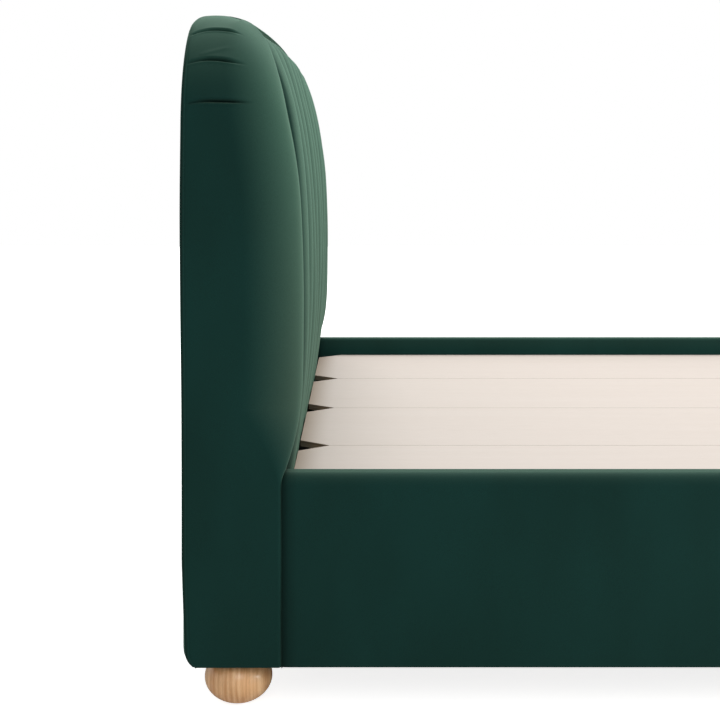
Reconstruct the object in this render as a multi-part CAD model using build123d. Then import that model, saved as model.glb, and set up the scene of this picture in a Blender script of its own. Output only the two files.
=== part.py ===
"""Upholstered king-size bed: fluted, bulging headboard, padded rails, lift-out boards and bun feet.

Millimetres. +X runs from the headboard to the foot, +Y to the sleeper's left, +Z up.
The origin is on the floor, under the middle of the bed.
"""

import math
import os

from build123d import *

os.makedirs("parts", exist_ok=True)

# Mattress and overall size
mattress_width = 1500.0
mattress_length = 2000.0
mattress_slack = 45.0
foot_height = 80.0
headboard_height = 1200.0
headboard_depth = 170.0

# Rails: a padded cover over a timber core
rail_thickness = 45.0
rail_height = 325.0
rail_top_radius = 12.0
rail_edge_radius = 6.0
rail_core_thickness = 25.0
rail_core_inner_pad = 8.0
rail_core_top_pad = 12.0
rail_core_end_pad = 6.0
rail_core_recess = 2.0

# Headboard shape
corner_radius = 200.0
border_pad = 22.0
back_edge_radius = 8.0
back_top_radius = 20.0
back_foot_depth = 19.0
back_foot_rise = 60.0
back_foot_bow = 4.6
bulge_depth = 207.5
bulge_height = 695.0
shoulder_depth = 60.0
shoulder_drop = 7.0
shoulder_power = 2.5
bulge_base_drop = 29.5
bulge_base_power = 2.0
top_seam_depth = 110.0
top_corner_lift = 0.5

# Headboard border roll
ridge_inset = 85.0
seam_inset = 164.0
ridge_drop = 4.5
ridge_hollow = 6.5
ridge_fade_power = 8.0
hollow_rise_power = 5.2
hollow_fall_power = 2.0
roll_depth = 78.0
roll_edge_radius = 7.0
roll_clear_height = 515.0
roll_base_height = 397.0
roll_base_drop = 33.0
roll_base_power = 4.2
border_seam_depth = 18.0
border_base_bow = 1.0
border_top_drop = 6.0
border_base_shares = (0.0, 0.2, 0.4, 0.7, 1.0)
border_rise_shares = (0.2, 0.4, 0.6, 0.8, 1.0)
border_turn_shares = (0.25, 0.45, 0.6, 0.74, 0.86, 0.95, 1.0)

# Flutes: padded channels side by side on the front
flute_count = 8
flute_pad = 29.0
flute_seam_pad = 11.0
flute_end_pad = 15.0
flute_end_seam_pad = 6.0
flute_bottom = 325.0
flute_base_shares = (0.0, 0.12, 0.32, 0.57, 0.8, 1.0)
flute_rise_shares = (0.25, 0.45, 0.62, 0.76, 0.86, 0.93, 0.97, 1.0)

# Headboard carcass
back_cover_thickness = 3.0
back_panel_thickness = 5.0
base_board_thickness = 12.0
frame_width = 45.0
frame_depth = 90.0
cross_rail_height = 90.0
middle_rail_height = 425.0
skin_thickness = 5.0
rib_thickness = 18.0
rib_count = 4
rail_block_width = 72.0
rail_block_bottom = 115.0
rail_block_top = 375.0
core_shoulder_chamfer = 18.0
skin_inset = 50.0

# Deck
deck_drop = 45.0
board_count = 4
board_thickness = 12.0
board_gap = 1.5
board_side_gap = 2.0
board_head_gap = 0.8
board_foot_gap = 12.0
board_clip_across = 45.0
board_clip_along = 60.0
seat_gap = 0.3

# Deck supports
bearer_count = 5
bearer_width = 60.0
bearer_height = 30.0
bearer_end_gap = 2.0
bearer_head_inset = 60.0
bearer_foot_inset = 60.0
ledger_width = 30.0
ledger_height = 30.0
ledger_end_gap = 30.0
beam_width = 40.0
beam_height = 60.0
hanger_thickness = 3.0
hanger_seat_length = 40.0
hanger_flange = 20.0
hanger_height = 80.0

# Centre legs and their levelling glides
leg_count = 2
leg_radius = 19.0
leg_wall = 2.0
leg_plug_height = 22.0
leg_plate_length = 90.0
leg_plate_width = 60.0
leg_plate_thickness = 4.0
glide_radius = 20.0
glide_height = 8.0
glide_edge_radius = 2.0
stud_radius = 4.0
stud_length = 45.0
stud_clearance = 0.1

# Bun feet
bun_radius = 58.5
bun_waist_height = 44.0
bun_lower_height = 43.5
bun_upper_height = 46.0
bun_inset = 62.0
bun_headboard_inset = 91.5
felt_radius = 11.0
felt_thickness = 2.0
hanger_bolt_radius = 4.0
hanger_bolt_up = 40.0
hanger_bolt_down = 35.0

# Corner blocks, brackets, bolts and screws
foot_block_length = 80.0
foot_block_height = 50.0
bracket_leg = 60.0
bracket_thickness = 3.0
bracket_bottom = 135.0
bracket_height = 150.0
bolt_radius = 4.0
bolt_head_radius = 7.0
bolt_head_height = 5.0
bolt_rail_length = 31.0
bolt_headboard_length = 58.0
bolt_inset = 32.0
bolt_height_shares = (0.22, 0.78)
screw_radius = 2.5
screw_head_radius = 4.5
screw_head_height = 2.5
ledger_screw_length = 54.0
bearer_screw_length = 50.0
ledger_screw_count = 6
foot_ledger_screw_count = 4
cut_overrun = 5.0

# Places that follow from the sizes
overall_width = mattress_width + 2 * rail_thickness
inside_length = mattress_length + mattress_slack
overall_length = headboard_depth + inside_length + rail_thickness
half_width = overall_width / 2
half_inside = mattress_width / 2
back_x = -overall_length / 2
base_front_x = back_x + headboard_depth
foot_outer_x = overall_length / 2
foot_inner_x = foot_outer_x - rail_thickness
rail_bottom = foot_height
rail_top = foot_height + rail_height
deck_top = rail_top - deck_drop
board_bottom = deck_top - board_thickness
bearer_top = board_bottom - seat_gap
bearer_bottom = bearer_top - bearer_height
beam_bottom = bearer_bottom - beam_height
frame_bottom = foot_height + base_board_thickness
corner_centre_y = half_width - corner_radius
corner_centre_z = headboard_height - corner_radius
core_half_width = half_width - border_pad
core_radius = corner_radius - border_pad
core_top = headboard_height - border_pad
skin_half_width = half_width - skin_inset
skin_radius = corner_radius - skin_inset
crest_top = headboard_height - shoulder_drop
hollow_share = hollow_rise_power / (hollow_rise_power + hollow_fall_power)
hollow_peak = hollow_share ** hollow_rise_power * (1 - hollow_share) ** hollow_fall_power
frame_back = back_cover_thickness + back_panel_thickness
frame_front = frame_back + frame_depth
seam_y = half_width - seam_inset
flute_width = 2 * seam_y / flute_count


def block(x_range, y_range, z_range):
    """Box between three pairs of coordinates."""
    size = [high - low for low, high in (x_range, y_range, z_range)]
    corner = (x_range[0], y_range[0], z_range[0])
    return Pos(*corner) * Box(*size, align=(Align.MIN, Align.MIN, Align.MIN))


def rod(start, direction, radius, length):
    """Cylinder from a point along a direction."""
    return Solid.make_cylinder(radius, length, Plane(origin=start, z_dir=direction))


def side_profile(points, y_range):
    """Solid between two widths, with its outline drawn in depth from the back and height."""
    corners = [Vector(back_x + depth, y_range[0], height) for depth, height in points]
    face = Face(Wire.make_polygon(corners, close=True))
    return Solid.extrude(face, Vector(0, y_range[1] - y_range[0], 0))


def save(name, *solids):
    """Write one sub-part; a group keeps its solids separate."""
    whole = []
    for shape in solids:
        whole.extend(shape.solids())
    export_step(whole[0] if len(whole) == 1 else Compound(children=whole), f"parts/{name}.step")


# Shape of the headboard


def crest_depth(height):
    """Depth of the flute crests: a superellipse above the bulge, a parabola below it."""
    if height >= bulge_height:
        rise = (height - bulge_height) / (crest_top - bulge_height)
        reach = (1 - min(rise, 1) ** shoulder_power) ** (1 / shoulder_power)
        return shoulder_depth + (bulge_depth - shoulder_depth) * reach
    fall = (bulge_height - height) / (bulge_height - deck_top)
    return bulge_depth - bulge_base_drop * fall ** bulge_base_power


def crest_height(depth):
    """Height above the bulge at which the crests are that deep."""
    reach = (depth - shoulder_depth) / (bulge_depth - shoulder_depth)
    rise = (1 - reach ** shoulder_power) ** (1 / shoulder_power)
    return bulge_height + rise * (crest_top - bulge_height)


def ridge_depth(height):
    """Depth of the border's ridge: a little behind the crests, most of all on the shoulder.

    At its foot the ridge runs back to the rail's corner.
    """
    if height >= bulge_height:
        rise = min((height - bulge_height) / (crest_top - bulge_height), 1)
        hollow = rise ** hollow_rise_power * (1 - rise) ** hollow_fall_power / hollow_peak
        return crest_depth(height) - ridge_drop * (1 - rise ** ridge_fade_power) - ridge_hollow * hollow
    fall = (bulge_height - height) / (bulge_height - roll_base_height)
    base = bulge_depth - ridge_drop - roll_base_drop * min(fall, 1) ** roll_base_power
    return max(base, headboard_depth)


def crest_normal(height):
    """Unit normal of the crest line, as depth and height, worked out from its slope."""
    step = shoulder_drop / 2
    slope = (crest_depth(height + step) - crest_depth(height - step)) / (2 * step)
    length = math.hypot(1, slope)
    return (1 / length, -slope / length)


def outline_inset(height):
    """How far the headboard's rounded corner has come in from its side at a height."""
    above = max(height - corner_centre_z, 0)
    return corner_radius - math.sqrt(corner_radius ** 2 - above ** 2)


top_seam_height = crest_height(top_seam_depth)
flute_heights = [flute_bottom + share * (bulge_height - flute_bottom) for share in flute_base_shares]
flute_heights += [bulge_height + share * (top_seam_height - bulge_height) for share in flute_rise_shares]
flute_normals = [crest_normal(height) for height in flute_heights]
skin_line = [
    (crest_depth(height) - flute_pad * normal[0], height - flute_pad * normal[1])
    for height, normal in zip(flute_heights, flute_normals)
]
skin_foot = (skin_line[0][0], frame_bottom)
inner_skin_line = [
    (point[0] - skin_thickness * normal[0], point[1] - skin_thickness * normal[1])
    for point, normal in zip(skin_line, flute_normals)
]
inner_skin_foot = (skin_foot[0] - skin_thickness, frame_bottom)


def line(start, end):
    """Straight edge between two points."""
    return Edge.make_line(Vector(*start), Vector(*end))


def quarter_arc(start, end, centre):
    """Arc between two points about a centre, through the middle of the turn."""
    start, end, centre = Vector(*start), Vector(*end), Vector(*centre)
    out = ((start + end) / 2 - centre).normalized()
    return Edge.make_three_point_arc(start, centre + out * (start - centre).length, end)


def rounded_plate(half, radius, z_range, depth_range):
    """Upright plate across the headboard with its two top corners rounded."""
    x = back_x + depth_range[0]
    low, high = z_range
    turn_y, turn_z = half - radius, high - radius
    outline = Wire(
        [
            line((x, -half, low), (x, half, low)),
            line((x, half, low), (x, half, turn_z)),
            quarter_arc((x, half, turn_z), (x, turn_y, high), (x, turn_y, turn_z)),
            line((x, turn_y, high), (x, -turn_y, high)),
            quarter_arc((x, -turn_y, high), (x, -half, turn_z), (x, -turn_y, turn_z)),
            line((x, -half, turn_z), (x, -half, low)),
        ]
    )
    return Solid.extrude(Face(outline), Vector(depth_range[1] - depth_range[0], 0, 0))


def core_plate(depth_range):
    """Plate as large as the carcass inside the padding."""
    return rounded_plate(core_half_width, core_radius, (foot_height, core_top), depth_range)


def skin_plate(depth_range):
    """Plate as large as the front skin, which stops short of the border's roll."""
    return rounded_plate(skin_half_width, skin_radius, (foot_height, core_top), depth_range)


def carcass_core():
    """Room inside the padding: the whole frame, and the narrower front up to the skin."""
    points = [(0, foot_height), (skin_foot[0], foot_height)]
    points += skin_line
    points += [(skin_line[-1][0] - core_shoulder_chamfer, core_top), (0, core_top)]
    room = side_profile(points, (-core_half_width, core_half_width))
    plates = core_plate((0, frame_front)) + skin_plate((0, bulge_depth)) + base_board()
    return room & plates


def side_silhouette():
    """Room that the headboard fills seen from the side, with its rounded back corners."""
    low, high = foot_height, headboard_height
    front = back_x + bulge_depth + cut_overrun
    y = -half_width
    top_x, top_turn = back_x + back_top_radius, high - back_top_radius
    foot_x, foot_turn = back_x + back_foot_depth, low + back_foot_rise
    foot_middle = Vector(back_x + back_foot_bow, y, low + back_foot_rise / 2)
    outline = Wire(
        [
            line((foot_x, y, low), (front, y, low)),
            line((front, y, low), (front, y, high)),
            line((front, y, high), (top_x, y, high)),
            quarter_arc((top_x, y, high), (back_x, y, top_turn), (top_x, y, top_turn)),
            line((back_x, y, top_turn), (back_x, y, foot_turn)),
            Edge.make_three_point_arc(Vector(back_x, y, foot_turn), foot_middle, Vector(foot_x, y, low)),
        ]
    )
    return Solid.extrude(Face(outline), Vector(0, overall_width, 0))


# Headboard padding


def border_section(height, side):
    """Plan section of the side border: flat side, broad roll to its ridge, then down to the seam."""
    inset = outline_inset(height)
    width = seam_inset - inset
    shrink = width / seam_inset
    grown = min(max((height - roll_base_height) / (roll_clear_height - roll_base_height), 0), 1)
    ridge = ridge_depth(height)
    ridge_in = inset + (roll_edge_radius + (ridge_inset - roll_edge_radius) * grown) * shrink
    roll_start = ridge - (roll_edge_radius + (roll_depth - roll_edge_radius) * grown) * shrink
    drop = (border_base_bow + (border_seam_depth - border_base_bow) * grown) * shrink
    rim = back_edge_radius * shrink
    diagonal = math.sqrt(1 / 2)

    def place(depth, inward):
        return Vector(back_x + depth, side * (half_width - inward), height)

    def rounded(start, end, corner):
        """Quarter of an ellipse between two places, given as depth and inset."""
        middle = [c + (s + e - 2 * c) * (1 - diagonal) for s, e, c in zip(start, end, corner)]
        return Edge.make_three_point_arc(place(*start), place(*middle), place(*end))

    seam_middle = place(ridge - drop / 4, (ridge_in + seam_inset) / 2)
    return Wire(
        [
            line(place(0, seam_inset), place(0, inset + rim)),
            rounded((0, inset + rim), (rim, inset), (0, inset)),
            line(place(rim, inset), place(roll_start, inset)),
            rounded((roll_start, inset), (ridge, ridge_in), (ridge, inset)),
            Edge.make_three_point_arc(
                place(ridge, ridge_in), seam_middle, place(ridge - drop, seam_inset)
            ),
            line(place(ridge - drop, seam_inset), place(0, seam_inset)),
        ]
    )


def border_pad(side, core, silhouette, rails):
    """Foam and velvet of one side of the headboard, hugging the carcass."""
    base = roll_clear_height - roll_base_height
    climb = corner_centre_z - roll_clear_height
    turn = headboard_height - border_top_drop - corner_centre_z
    rise = [roll_base_height + share * base for share in border_base_shares]
    rise += [roll_clear_height + share * climb for share in border_rise_shares]
    rise += [corner_centre_z + share * turn for share in border_turn_shares]
    sections = [border_section(height, side) for height in [foot_height, *rise]]
    pad = Solid.make_loft(sections, ruled=True)
    return (pad - core - rails) & silhouette


def top_pad(core):
    """Foam and velvet over the top, from the back edge to the seam above the flutes.

    Its corners are cut a little high, so that their rounds cross its flat top cleanly.
    """
    high = headboard_height
    seam = (back_x + top_seam_depth, top_seam_height)
    seam_foot = (back_x + skin_line[-1][0], skin_line[-1][1])
    turn_x, turn_z = back_x + back_top_radius, high - back_top_radius
    crown_x = back_x + shoulder_depth
    middle_depth = (shoulder_depth + top_seam_depth) / 2
    middle = (back_x + middle_depth, crest_height(middle_depth) + shoulder_drop / 2)
    y = -seam_y

    def at(place):
        return Vector(place[0], y, place[1])

    outline = Wire(
        [
            line((back_x, y, core_top), (back_x, y, turn_z)),
            quarter_arc((back_x, y, turn_z), (turn_x, y, high), (turn_x, y, turn_z)),
            line((turn_x, y, high), (crown_x, y, high)),
            Edge.make_three_point_arc(Vector(crown_x, y, high), at(middle), at(seam)),
            line(at(seam), at(seam_foot)),
            line(at(seam_foot), (seam_foot[0] - core_shoulder_chamfer, y, core_top)),
            line((seam_foot[0] - core_shoulder_chamfer, y, core_top), (back_x, y, core_top)),
        ]
    )
    pad = Solid.extrude(Face(outline), Vector(0, 2 * seam_y, 0))
    lifted = (foot_height, high + top_corner_lift)
    outer = rounded_plate(half_width, corner_radius, lifted, (0, bulge_depth))
    return (pad & outer) - core


def flute(index):
    """One padded channel: a crowned strip that follows the skin and is drawn in at its ends."""
    y_low = -seam_y + index * flute_width
    y_high = y_low + flute_width
    y_middle = y_low + flute_width / 2
    last = len(skin_line) - 1
    sections = []
    for number, (point, normal) in enumerate(zip(skin_line, flute_normals)):
        ended = number in (0, last)
        crest = flute_end_pad if ended else flute_pad
        seam = flute_end_seam_pad if ended else flute_seam_pad

        def place(out, y, point=point, normal=normal):
            return Vector(back_x + point[0] + out * normal[0], y, point[1] + out * normal[1])

        sections.append(
            Wire(
                [
                    line(place(0, y_low), place(0, y_high)),
                    line(place(0, y_high), place(seam, y_high)),
                    Edge.make_three_point_arc(
                        place(seam, y_high), place(crest, y_middle), place(seam, y_low)
                    ),
                    line(place(seam, y_low), place(0, y_low)),
                ]
            )
        )
    return Solid.make_loft(sections, ruled=True)


# Headboard carcass


def front_skin():
    """Thin bent panel that gives the bulge its line."""
    points = [inner_skin_foot, skin_foot, *skin_line, *reversed(inner_skin_line)]
    skin = side_profile(points, (-skin_half_width, skin_half_width))
    return skin & skin_plate((0, bulge_depth))


def rib(index):
    """Upright shaped rib between the frame and the skin."""
    step = (2 * skin_half_width - rib_thickness) / (rib_count - 1)
    y = -skin_half_width + index * step
    top = inner_skin_line[-1][1]
    room = block((back_x + frame_front, back_x + bulge_depth), (y, y + rib_thickness), (frame_bottom, top))
    return frame_room() & room & skin_plate((0, bulge_depth))


def frame_room():
    """Room for the frame behind the skin, which leans back at its top."""
    points = [(frame_back, frame_bottom), inner_skin_foot, *inner_skin_line]
    points += [(inner_skin_line[-1][0] - core_shoulder_chamfer, core_top), (frame_back, core_top)]
    return side_profile(points, (-core_half_width, core_half_width))


def upright(side):
    """Timber post down one side of the headboard."""
    inner = core_half_width - frame_width
    y_range = sorted((side * inner, side * core_half_width))
    return block((back_x + frame_back, back_x + frame_front), y_range, (frame_bottom, corner_centre_z))


def corner_former(side):
    """Quarter ring that carries the post round into the top rail."""
    x = back_x + frame_back
    centre = (x, side * corner_centre_y, corner_centre_z)
    outer = rod(centre, (1, 0, 0), core_radius, frame_depth)
    inner = rod(centre, (1, 0, 0), core_radius - frame_width, frame_depth)
    y_range = sorted((side * corner_centre_y, side * core_half_width))
    quarter = block((x, x + frame_depth), y_range, (corner_centre_z, core_top))
    return (outer - inner) & quarter & frame_room()


def cross_rail(low, high, half):
    """Timber rail across the headboard's frame."""
    rail = block((back_x + frame_back, back_x + frame_front), (-half, half), (low, high))
    return rail & frame_room()


def base_board():
    """Board that closes the headboard's foot and rests on its two feet."""
    return block(
        (back_x + back_cover_thickness, back_x + skin_foot[0]),
        (-core_half_width, core_half_width),
        (foot_height, frame_bottom),
    )


# Rails


def rail_shape(x_range, y_range):
    """Padded rail: broad rounding on top, small ones below and at its ends."""
    rail = block(x_range, y_range, (rail_bottom, rail_top))
    along = Axis.X if x_range[1] - x_range[0] > y_range[1] - y_range[0] else Axis.Y
    rail = rail.fillet(rail_edge_radius, rail.edges().filter_by(Axis.Z))
    rail = rail.fillet(rail_top_radius, rail.edges().filter_by(along).group_by(Axis.Z)[-1])
    return rail.fillet(rail_edge_radius, rail.edges().filter_by(along).group_by(Axis.Z)[0])


def side_core_box(side):
    """Timber core of a side rail, nearer to the rail's outer face by its thin inner padding."""
    inner = half_inside + rail_core_inner_pad
    y_range = sorted((side * inner, side * (inner + rail_core_thickness)))
    x_range = (base_front_x + rail_core_end_pad, foot_inner_x - rail_core_end_pad)
    return block(x_range, y_range, (rail_bottom + rail_core_recess, rail_top - rail_core_top_pad))


def foot_core_box():
    """Timber core of the foot rail."""
    inner = foot_inner_x + rail_core_inner_pad
    reach = half_width - rail_core_end_pad
    z_range = (rail_bottom + rail_core_recess, rail_top - rail_core_top_pad)
    return block((inner, inner + rail_core_thickness), (-reach, reach), z_range)


def open_below(core):
    """Room for a core, cut on through the underside, where the cover is stapled."""
    box = core.bounding_box()
    return block(
        (box.min.X, box.max.X), (box.min.Y, box.max.Y), (rail_bottom - cut_overrun, box.max.Z)
    )


def rail_cover(shape, core):
    """Padded cover round a core."""
    return shape - open_below(core)


# Deck supports


def ledger(side):
    """Batten along the inside of a side rail, under the bearers' ends."""
    y_range = sorted((side * (half_inside - ledger_width), side * half_inside))
    x_range = (base_front_x + ledger_end_gap, foot_inner_x - ledger_end_gap)
    return block(x_range, y_range, (bearer_bottom - ledger_height, bearer_bottom))


def foot_ledger():
    """Batten across the inside of the foot rail, up to the deck boards' ends."""
    reach = half_inside - bracket_leg - ledger_end_gap
    x_range = (foot_inner_x - ledger_width, foot_inner_x)
    return block(x_range, (-reach, reach), (bearer_bottom, bearer_top))


def bearer_place(index):
    """Middle of a cross bearer along the bed."""
    first = base_front_x + bearer_head_inset
    last = foot_inner_x - ledger_width - bearer_foot_inset
    return first + (last - first) * index / (bearer_count - 1)


def bearer(index):
    """Timber bearer across the bed, from ledger to ledger."""
    x = bearer_place(index)
    reach = half_inside - bearer_end_gap
    x_range = (x - bearer_width / 2, x + bearer_width / 2)
    return block(x_range, (-reach, reach), (bearer_bottom, bearer_top))


def beam_ends():
    """Where the beam starts and stops, against its two hangers."""
    return (back_x + skin_foot[0] + hanger_thickness, foot_inner_x - hanger_thickness)


def centre_beam():
    """Timber beam down the middle, under the bearers."""
    return block(beam_ends(), (-beam_width / 2, beam_width / 2), (beam_bottom, bearer_bottom))


def beam_hanger(wall_x, direction):
    """Steel stirrup that holds one end of the beam against a wall."""
    half = beam_width / 2
    seat = sorted((wall_x, wall_x + direction * hanger_seat_length))
    plate = sorted((wall_x, wall_x + direction * hanger_thickness))
    low = beam_bottom - hanger_thickness
    outer = block(seat, (-half - hanger_thickness, half + hanger_thickness), (low, bearer_bottom))
    room_x = sorted((wall_x + direction * hanger_thickness, wall_x + direction * 2 * hanger_seat_length))
    room = block(room_x, (-half, half), (beam_bottom, bearer_bottom + cut_overrun))
    reach = half + hanger_thickness + hanger_flange
    back = block(plate, (-reach, reach), (bearer_bottom - hanger_height, bearer_bottom))
    return (outer - room) + back


# Deck boards


def deck_board(index):
    """Long ply board with both corners of its head end cut off."""
    room = mattress_width - 2 * board_side_gap - (board_count - 1) * board_gap
    width = room / board_count
    low = -half_inside + board_side_gap + index * (width + board_gap)
    high = low + width
    head = back_x + crest_depth(deck_top) + board_head_gap
    foot = foot_inner_x - board_foot_gap
    points = [
        (head, low + board_clip_across),
        (head + board_clip_along, low),
        (foot, low),
        (foot, high),
        (head + board_clip_along, high),
        (head, high - board_clip_across),
    ]
    face = Face(Wire.make_polygon([Vector(x, y, board_bottom) for x, y in points], close=True))
    return Solid.extrude(face, Vector(0, 0, board_thickness))


# Centre legs


def leg_place(index):
    """Middle of a centre leg along the bed, between two bearers."""
    start, end = beam_ends()
    return start + (end - start) * (index + 1) / (leg_count + 1)


def centre_leg(index):
    """Steel tube with a top plate and a threaded plug in its foot."""
    x = leg_place(index)
    low = glide_height + seat_gap
    plate_bottom = beam_bottom - leg_plate_thickness
    tube = rod((x, 0, low), (0, 0, 1), leg_radius, plate_bottom - low)
    hollow_low = low + leg_plug_height
    hollow = rod((x, 0, hollow_low), (0, 0, 1), leg_radius - leg_wall, plate_bottom - hollow_low)
    thread = rod((x, 0, 0), (0, 0, 1), stud_radius + stud_clearance, hollow_low + cut_overrun)
    plate = block(
        (x - leg_plate_length / 2, x + leg_plate_length / 2),
        (-leg_plate_width / 2, leg_plate_width / 2),
        (plate_bottom, beam_bottom),
    )
    return (tube - hollow - thread) + plate


def leg_glide(index):
    """Levelling glide: a disc on a stud that screws into the leg."""
    x = leg_place(index)
    disc = rod((x, 0, 0), (0, 0, 1), glide_radius, glide_height)
    disc = disc.fillet(glide_edge_radius, disc.edges().group_by(Axis.Z)[0])
    return disc + rod((x, 0, glide_height / 2), (0, 0, 1), stud_radius, stud_length)


# Bun feet


def foot_places():
    """Centres of the four feet: two under the headboard, two under the foot rail."""
    y = half_width - bun_inset
    x_pair = (back_x + bun_headboard_inset, foot_outer_x - bun_inset)
    return [(x, side * y) for x in x_pair for side in (-1, 1)]


def bun_foot(x, y):
    """Turned wooden bun, widest below its middle, with flats for the bed and for its felt."""
    waist = Plane(origin=(0, 0, bun_waist_height), x_dir=(1, 0, 0), z_dir=(0, -1, 0))
    low = math.asin((bun_waist_height - felt_thickness) / bun_lower_height)
    high = math.asin((foot_height - bun_waist_height) / bun_upper_height)
    half_turn = math.degrees(math.pi)
    full_turn = 2 * half_turn
    lower = Edge.make_ellipse(
        bun_radius, bun_lower_height, waist, start_angle=full_turn - math.degrees(low), end_angle=full_turn
    )
    upper = Edge.make_ellipse(
        bun_radius, bun_upper_height, waist, start_angle=0, end_angle=math.degrees(high)
    )
    foot_radius = bun_radius * math.cos(low)
    top_radius = bun_radius * math.cos(high)
    outline = Wire(
        [
            line((0, 0, felt_thickness), (foot_radius, 0, felt_thickness)),
            lower,
            upper,
            line((top_radius, 0, foot_height), (0, 0, foot_height)),
            line((0, 0, foot_height), (0, 0, felt_thickness)),
        ]
    )
    return Pos(x, y, 0) * Solid.revolve(Face(outline), full_turn, Axis.Z)


def felt_pad(x, y):
    """Felt disc under a bun foot."""
    return rod((x, y, 0), (0, 0, 1), felt_radius, felt_thickness)


def hanger_bolt(x, y):
    """Double-ended screw from the bun up into the frame."""
    low = foot_height - hanger_bolt_down
    return rod((x, y, low), (0, 0, 1), hanger_bolt_radius, hanger_bolt_down + hanger_bolt_up)


def foot_block(side):
    """Timber block in a foot corner, which takes the foot's bolt."""
    y_range = sorted((side * half_inside, side * (half_inside - foot_block_length)))
    x_range = (foot_inner_x - foot_block_length, foot_inner_x)
    return block(x_range, y_range, (foot_height, foot_height + foot_block_height))


def rail_block(side):
    """Timber block behind the skin, which takes the side rail's bolts."""
    inner = skin_half_width - rib_thickness
    y_range = sorted((side * inner, side * (inner - rail_block_width)))
    x_range = (back_x + frame_front, back_x + inner_skin_foot[0])
    return block(x_range, y_range, (rail_block_bottom, rail_block_top))


# Brackets and fixings


def bracket(corner_x, side, direction):
    """Steel angle in an inside corner: one leg along the side rail, one across the bed."""
    z_range = (bracket_bottom, bracket_bottom + bracket_height)
    wall_y = side * half_inside
    long_x = sorted((corner_x, corner_x + direction * bracket_leg))
    thin_x = sorted((corner_x, corner_x + direction * bracket_thickness))
    long_y = sorted((wall_y, wall_y - side * bracket_leg))
    thin_y = sorted((wall_y, wall_y - side * bracket_thickness))
    return block(long_x, thin_y, z_range) + block(thin_x, long_y, z_range)


def headed(start, direction, radius, length, head_radius, head_height):
    """Fixing with a round head at its start, driven along a direction."""
    start, direction = Vector(*start), Vector(*direction)
    head = rod(start - direction * head_height, direction, head_radius, head_height)
    return head + rod(start, direction, radius, length)


def bolt(start, direction, length):
    """Bolt through a bracket."""
    return headed(start, direction, bolt_radius, length, bolt_head_radius, bolt_head_height)


def bracket_bolts(corner_x, side, direction, cross_length):
    """The four bolts of one bracket: two into the side rail, two across the bed."""
    bolts = []
    for share in bolt_height_shares:
        z = bracket_bottom + share * bracket_height
        face_y = side * (half_inside - bracket_thickness)
        face_x = corner_x + direction * bracket_thickness
        along = (corner_x + direction * bolt_inset, face_y, z)
        across = (face_x, side * (half_inside - bolt_inset), z)
        bolts.append(bolt(along, (0, side, 0), bolt_rail_length))
        bolts.append(bolt(across, (-direction, 0, 0), cross_length))
    return bolts


def screw(start, direction, length):
    """Flat-headed wood screw, its head sunk flush."""
    sunk = Vector(*start) + Vector(*direction) * screw_head_height
    shank = length - screw_head_height
    return headed(tuple(sunk), direction, screw_radius, shank, screw_head_radius, screw_head_height)


def ledger_screws():
    """Screws through the battens into the rails' cores."""
    screws = []
    z = bearer_bottom - ledger_height / 2
    start, end = base_front_x + ledger_end_gap, foot_inner_x - ledger_end_gap
    for side in (-1, 1):
        for index in range(ledger_screw_count):
            x = start + (end - start) * (index + 1 / 2) / ledger_screw_count
            face = (x, side * (half_inside - ledger_width), z)
            screws.append(screw(face, (0, side, 0), ledger_screw_length))
    reach = half_inside - bracket_leg - ledger_end_gap
    for index in range(foot_ledger_screw_count):
        y = -reach + 2 * reach * (index + 1 / 2) / foot_ledger_screw_count
        face = (foot_inner_x - ledger_width, y, bearer_bottom + bearer_height / 2)
        screws.append(screw(face, (1, 0, 0), ledger_screw_length))
    return screws


def bearer_screws():
    """One screw down through each end of every bearer into its ledger."""
    y = half_inside - ledger_width / 2
    places = [(bearer_place(index), side * y) for index in range(bearer_count) for side in (-1, 1)]
    return [screw((x, y, bearer_top), (0, 0, -1), bearer_screw_length) for x, y in places]


def drilled(solid, fixings):
    """The solid with a snug hole for every fixing that reaches it."""
    box = solid.bounding_box()
    for fixing in fixings:
        if box.overlaps(fixing.bounding_box()):
            solid = solid - fixing
    return solid


# Assembly

sides = {"right": -1, "left": 1}
side_rail_x = (base_front_x, foot_inner_x)
outer_band = (half_inside, half_width)
rail_room = block(side_rail_x, outer_band, (rail_bottom, rail_top))
rail_room += block(side_rail_x, [-y for y in reversed(outer_band)], (rail_bottom, rail_top))
core = carcass_core()
silhouette = side_silhouette()
carcass = Pos(back_cover_thickness, 0, 0) * silhouette
cover_reach = back_foot_depth + 2 * back_cover_thickness

bolts = []
for side in (-1, 1):
    bolts += bracket_bolts(base_front_x, side, 1, bolt_headboard_length)
    bolts += bracket_bolts(foot_inner_x, side, -1, bolt_rail_length)
wood_screws = ledger_screws() + bearer_screws()
hanger_bolts = [hanger_bolt(x, y) for x, y in foot_places()]
fixings = bolts + wood_screws + hanger_bolts

# Headboard
for name, side in sides.items():
    pad = border_pad(side, core, silhouette, rail_room)
    save(f"border_pad_{name}", drilled(pad, bolts))
    save(f"upright_{name}", drilled(upright(side) & carcass, hanger_bolts))
    save(f"corner_former_{name}", corner_former(side))
save("top_pad", top_pad(core))
for index in range(flute_count):
    save(f"flute_{index + 1}", flute(index))
save("front_skin", drilled(front_skin(), bolts))
for index in range(rib_count):
    save(f"rib_{index + 1}", rib(index))
inner_half = core_half_width - frame_width
bottom_rail = cross_rail(frame_bottom, frame_bottom + cross_rail_height, inner_half)
save("bottom_rail", bottom_rail & carcass)
save("middle_rail", cross_rail(middle_rail_height, middle_rail_height + cross_rail_height, inner_half))
save("top_rail", cross_rail(core_top - frame_width, core_top, corner_centre_y))
back_panel = core_plate((back_cover_thickness, frame_back)) - base_board()
save("back_panel", back_panel & carcass)
save("back_cover", (core_plate((0, cover_reach)) & silhouette) - carcass)
save("base_board", drilled(base_board() & carcass, hanger_bolts))

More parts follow.
